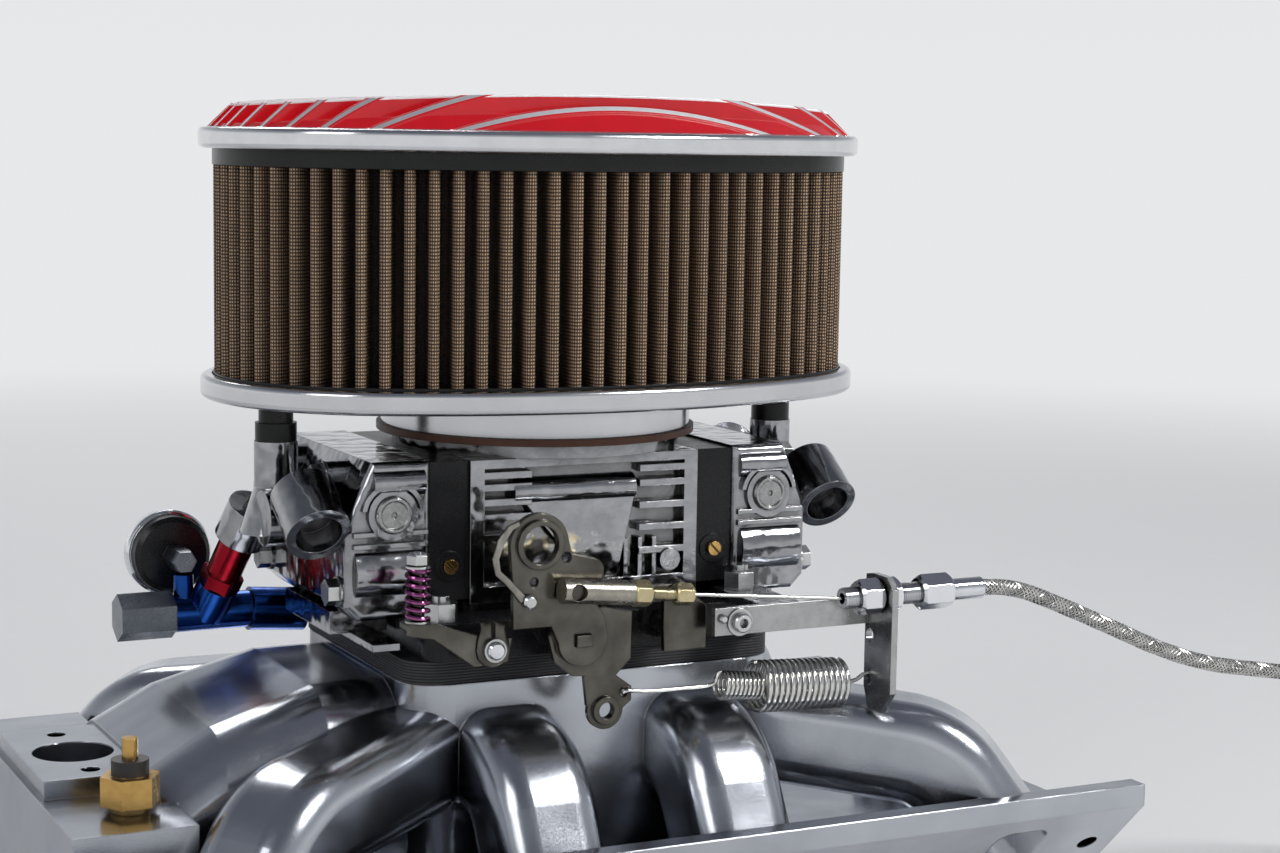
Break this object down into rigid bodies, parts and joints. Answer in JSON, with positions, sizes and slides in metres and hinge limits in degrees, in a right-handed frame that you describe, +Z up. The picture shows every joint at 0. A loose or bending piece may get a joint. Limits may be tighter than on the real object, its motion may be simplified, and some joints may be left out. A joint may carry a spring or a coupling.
{
  "type": "v8 engine induction assembly with oval finned air cleaner",
  "caption": "Finned oval air cleaner on a four-barrel carburettor with a working throttle linkage, cable and return spring, on its polished intake manifold.",
  "frame": {"origin": "on the floor that the manifold stands on, under the carburettor's centre", "axes": "+X towards the engine's rear, +Y towards its right side, +Z up"},
  "size_m": [0.7124, 0.3762, 0.375],
  "materials": {
    "polished_manifold": "polished cast aluminium",
    "polished_casting": "mirror-polished casting",
    "brass": "machined brass",
    "black_gasket": "laminated phenolic",
    "black_anodised": "black anodised",
    "zinc_plate": "bright zinc plate",
    "dark_zinc": "dark plated steel",
    "yellow_zinc": "yellow zinc plate",
    "bright_wire": "bright spring wire",
    "chrome": "chrome plate",
    "steel_braid": "braided stainless wire",
    "purple_spring": "purple lacquered spring steel",
    "red_anodised": "red anodised",
    "blue_anodised": "blue anodised",
    "grey_anodised": "grey anodised",
    "brown_rubber": "brown sealing ring",
    "cotton_gauze": "oiled cotton gauze under wire mesh",
    "black_rubber": "moulded rubber",
    "red_enamel": "red gloss enamel with polished rib tops",
    "sight_glass": "dull sight plug"
  },
  "bodies": {
    "root": {"air_cleaner_base": "polished_casting", "air_cleaner_lid": "red_enamel", "bowl_screws_front": "zinc_plate", "bowl_screws_rear": "zinc_plate", "cable": "steel_braid", "cable_bracket": "chrome", "cable_end_fitting": "chrome", "carb_gasket": "black_gasket", "centre_stud": "zinc_plate", "clamp_fitting": "chrome", "element_seal_bottom": "black_rubber", "element_seal_top": "black_rubber", "filter_element": "cotton_gauze", "float_bowl_front": "polished_casting", "float_bowl_rear": "polished_casting", "fuel_tee": "blue_anodised", "hose_nut": "grey_anodised", "intake_manifold": "polished_manifold", "main_body": "polished_casting", "metering_block_front": "black_anodised", "metering_block_rear": "black_anodised", "mixture_screws_front": "brass", "mixture_screws_rear": "brass", "pressure_gauge": "chrome", "pump_housing_front": "polished_casting", "pump_housing_rear": "polished_casting", "pump_pin": "zinc_plate", "red_fitting": "red_anodised", "return_spring": "bright_wire", "sealing_ring": "brown_rubber", "sight_plugs_front": "sight_glass", "sight_plugs_rear": "sight_glass", "stud_nuts": "zinc_plate", "temperature_sender": "brass", "throttle_body": "black_anodised", "vent_cap_front": "black_rubber", "vent_cap_rear": "black_rubber"},
    "primary": {"throttle_lever": "dark_zinc", "primary_shaft": "dark_zinc"},
    "secondary": {"secondary_shaft": "dark_zinc"},
    "link": {"throttle_link": "dark_zinc"},
    "cable_end": {"cable_barrel": "yellow_zinc", "cable_wire": "bright_wire"},
    "spring_end": {"spring_hook": "bright_wire"},
    "pump": {"pump_arm": "dark_zinc", "pump_spring": "purple_spring"}
  },
  "joints": [
    {"name": "throttle_primary", "type": "hinge", "parent": "root", "child": "primary", "pos_m": [-0.0245, 0, 0.15], "axis": [0, 1, 0], "range_deg": [0, 75], "stiffness_Nm_per_rad": 0.5, "springref_deg": -57.3, "deforming": ["cable_wire", "return_spring"]},
    {"name": "throttle_secondary", "type": "hinge", "parent": "root", "child": "secondary", "pos_m": [0.0245, 0, 0.15], "axis": [0, 1, 0], "range_deg": [0, 75]},
    {"name": "link_pivot", "type": "hinge", "parent": "primary", "child": "link", "pos_m": [-0.0245, -0.096, 0.1655], "axis": [0, 1, 0], "range_deg": [-75, 0]},
    {"name": "cable_end_pivot", "type": "hinge", "parent": "primary", "child": "cable_end", "pos_m": [-0.0315, -0.113, 0.1723], "axis": [0, 1, 0], "range_deg": [-79.1, 0]},
    {"name": "spring_stretch", "type": "slide", "parent": "root", "child": "spring_end", "axis": [-0.9993, 0, -0.0386], "range_m": [0, 0.03935], "deforming": ["spring_hook"]},
    {"name": "pump_arm_pivot", "type": "hinge", "parent": "root", "child": "pump", "pos_m": [-0.057, -0.0855, 0.145], "axis": [0, 1, 0], "range_deg": [0, 7.5]}
  ],
  "couplings": [
    {"joint": "throttle_secondary", "follows": "throttle_primary", "ratio": 1},
    {"joint": "link_pivot", "follows": "throttle_primary", "ratio": -1},
    {"joint": "cable_end_pivot", "follows": "throttle_primary", "ratio": -1.0539},
    {"joint": "spring_stretch", "follows": "throttle_primary", "m_per_rad": 0.029987},
    {"joint": "pump_arm_pivot", "follows": "throttle_primary", "ratio": 0.1}
  ]
}
